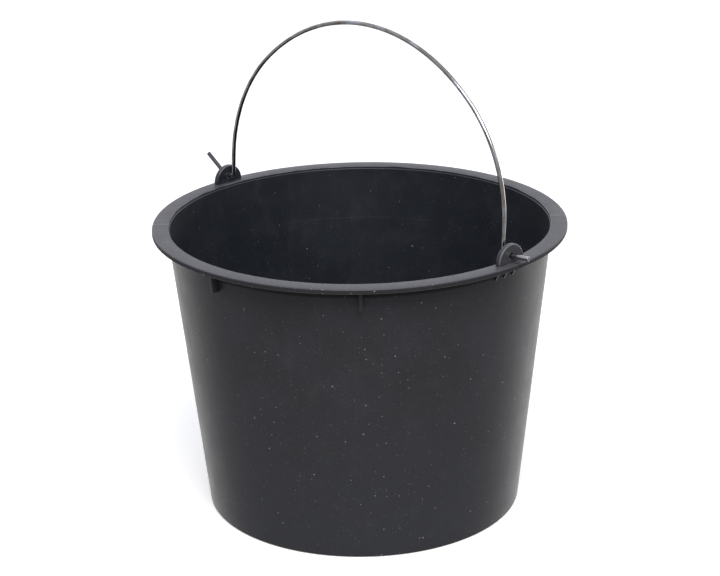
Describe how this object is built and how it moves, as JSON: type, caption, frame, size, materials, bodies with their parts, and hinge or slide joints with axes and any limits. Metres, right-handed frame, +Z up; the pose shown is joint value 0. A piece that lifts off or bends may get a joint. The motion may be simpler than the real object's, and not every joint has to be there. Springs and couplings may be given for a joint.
{
  "type": "feed bucket",
  "caption": "Round tapered plastic bucket with a flat stepped rim, ears and stacking ribs, carried by a swinging bent-wire bail.",
  "frame": {"origin": "centre of the flat underside of the bucket", "axes": "+Z up along the bucket's axis; X along the bail's hinge line, with the longer upturned wire end at -X; Y across it, and the bail leans 4 degrees towards +Y at rest"},
  "size_m": [0.408, 0.375, 0.4452],
  "materials": {
    "black_plastic": "satin moulded polyethylene, dusty and lightly scuffed",
    "steel_wire": "drawn zinc-coated wire, bright"
  },
  "bodies": {
    "bucket": {"bucket_wall": "black_plastic", "bucket_floor": "black_plastic", "bucket_rim": "black_plastic", "ear_right": "black_plastic", "ear_left": "black_plastic", "ear_gussets": "black_plastic", "stacking_ribs": "black_plastic"},
    "bail": {"wire_bail": "steel_wire"}
  },
  "joints": [
    {"name": "bail_hinge", "type": "hinge", "parent": "bucket", "child": "bail", "pos_m": [0, 0, 0.2726], "axis": [1, 0, 0], "range_deg": [-87.5, 95.5]}
  ]
}
